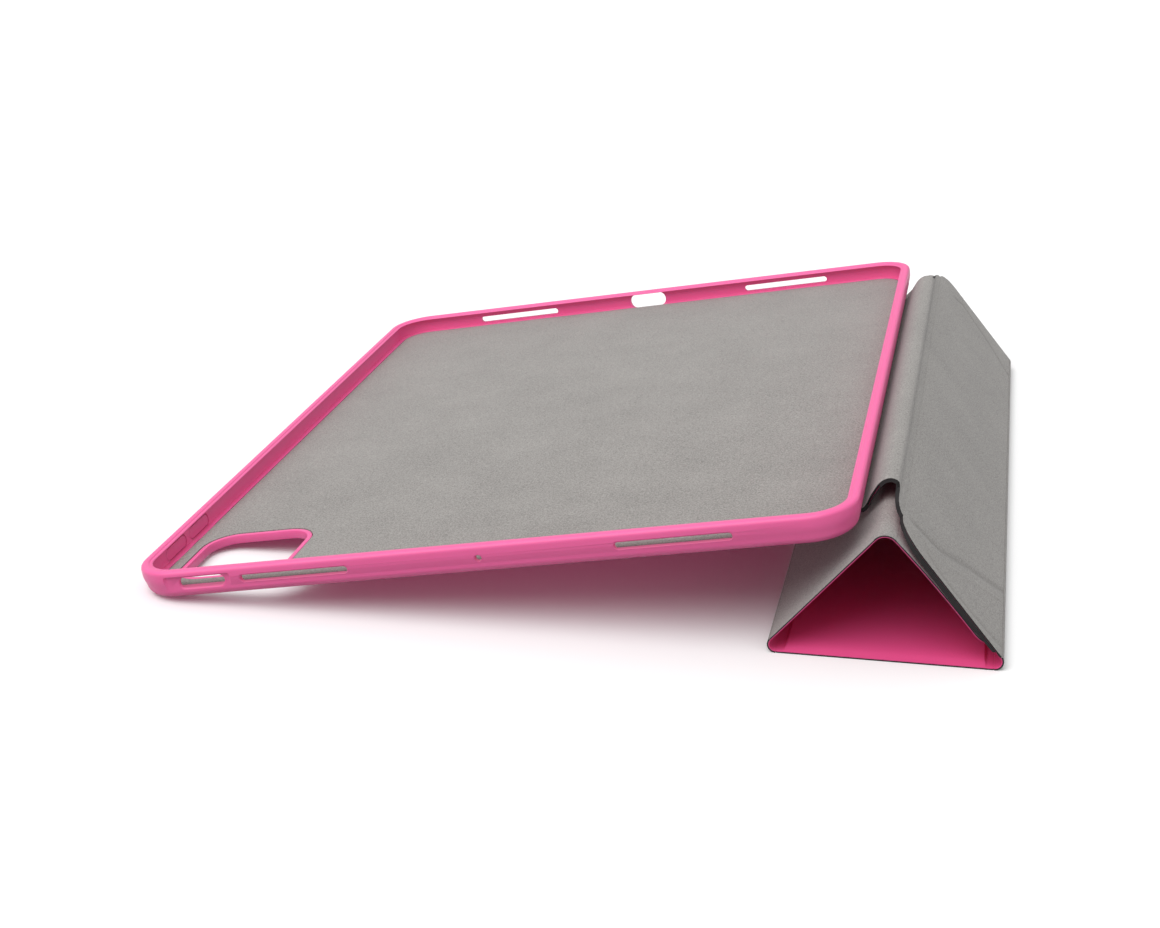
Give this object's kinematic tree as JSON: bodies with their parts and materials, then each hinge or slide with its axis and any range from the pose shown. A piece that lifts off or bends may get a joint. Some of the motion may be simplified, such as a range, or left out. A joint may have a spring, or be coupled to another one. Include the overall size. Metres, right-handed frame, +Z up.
{
  "type": "folio tablet case",
  "caption": "Folio case for a large tablet: soft bumper tray with lip and cut-outs, hinged to a folding cover that forms a triangular stand under one edge.",
  "frame": {"origin": "middle of the box that the standing case fills, on the surface that it stands on", "axes": "+Z up; +Y along the hinge, away from the viewer's end with the microphone hole; +X across the tray towards the folded cover"},
  "size_m": [0.2604, 0.286, 0.0446],
  "materials": {
    "tpu_frame": "satin moulded, deep pink",
    "pink_skin": "smooth synthetic leather with a fine grain",
    "grey_lining": "grey microfibre",
    "board": "pressed fibreboard, sealed inside",
    "back_shell": "translucent hard plastic, sealed inside",
    "magnet": "nickel plated, sealed inside"
  },
  "bodies": {
    "shell": {"tray_frame": "tpu_frame", "back_skin": "pink_skin", "back_plate": "back_shell", "back_liner": "grey_lining", "camera_rim": "tpu_frame", "spine_wing": "pink_skin", "spine_base_crease": "grey_lining"},
    "volume_up": {"volume_up_key": "tpu_frame"},
    "volume_down": {"volume_down_key": "tpu_frame"},
    "spine_flank": {"spine_flank_skin": "pink_skin", "spine_stiffener": "board", "spine_flank_lining": "grey_lining", "spine_crest_crease": "grey_lining"},
    "spine_leaf": {"spine_leaf_skin": "pink_skin", "spine_leaf_lining": "grey_lining", "cover_crease": "grey_lining"},
    "panel_1": {"panel_1_skin": "pink_skin", "panel_1_board": "board", "panel_1_lining": "grey_lining", "keeper_magnet_1": "magnet", "keeper_magnet_2": "magnet", "keeper_magnet_3": "magnet", "keeper_magnet_4": "magnet", "front_crease": "grey_lining"},
    "panel_2": {"panel_2_skin": "pink_skin", "panel_2_board": "board", "panel_2_lining": "grey_lining", "rear_crease": "grey_lining"},
    "panel_3": {"panel_3_skin": "pink_skin", "panel_3_board": "board", "panel_3_lining": "grey_lining", "apex_crease": "grey_lining"},
    "panel_4": {"panel_4_skin": "pink_skin", "panel_4_board": "board", "panel_4_lining": "grey_lining", "hold_magnet_1": "magnet", "hold_magnet_2": "magnet", "hold_magnet_3": "magnet", "hold_magnet_4": "magnet", "sleep_magnet": "magnet"}
  },
  "joints": [
    {"name": "spine_base", "type": "hinge", "parent": "shell", "child": "spine_flank", "pos_m": [0.0889, 0, 0.0346], "axis": [0, -1, 0], "range_deg": [-38, 22]},
    {"name": "spine_crest", "type": "hinge", "parent": "spine_flank", "child": "spine_leaf", "pos_m": [0.0961, 0, 0.04405], "axis": [0, -1, 0], "range_deg": [0, 208]},
    {"name": "cover_crease", "type": "hinge", "parent": "spine_leaf", "child": "panel_1", "pos_m": [0.0993, 0, 0.0407], "axis": [0, -1, 0], "range_deg": [0, 10.5]},
    {"name": "front_fold", "type": "hinge", "parent": "panel_1", "child": "panel_2", "pos_m": [0.1294, 0, 0.00182], "axis": [0, -1, 0], "range_deg": [0, 128]},
    {"name": "rear_fold", "type": "hinge", "parent": "panel_2", "child": "panel_3", "pos_m": [0.06565, 0, 0.00183], "axis": [0, -1, 0], "range_deg": [-2.5, 0]},
    {"name": "apex_fold", "type": "hinge", "parent": "panel_3", "child": "panel_4", "pos_m": [0.09648, 0, 0.03717], "axis": [0, -1, 0], "range_deg": [-2.5, 0]},
    {"name": "volume_up_press", "type": "slide", "parent": "shell", "child": "volume_up", "axis": [0.9863, 0, 0.165], "range_m": [0, 0.0006], "stiffness_N_per_m": 800, "springref_m": -0.001},
    {"name": "volume_down_press", "type": "slide", "parent": "shell", "child": "volume_down", "axis": [0.9863, 0, 0.165], "range_m": [0, 0.0006], "stiffness_N_per_m": 800, "springref_m": -0.001}
  ]
}
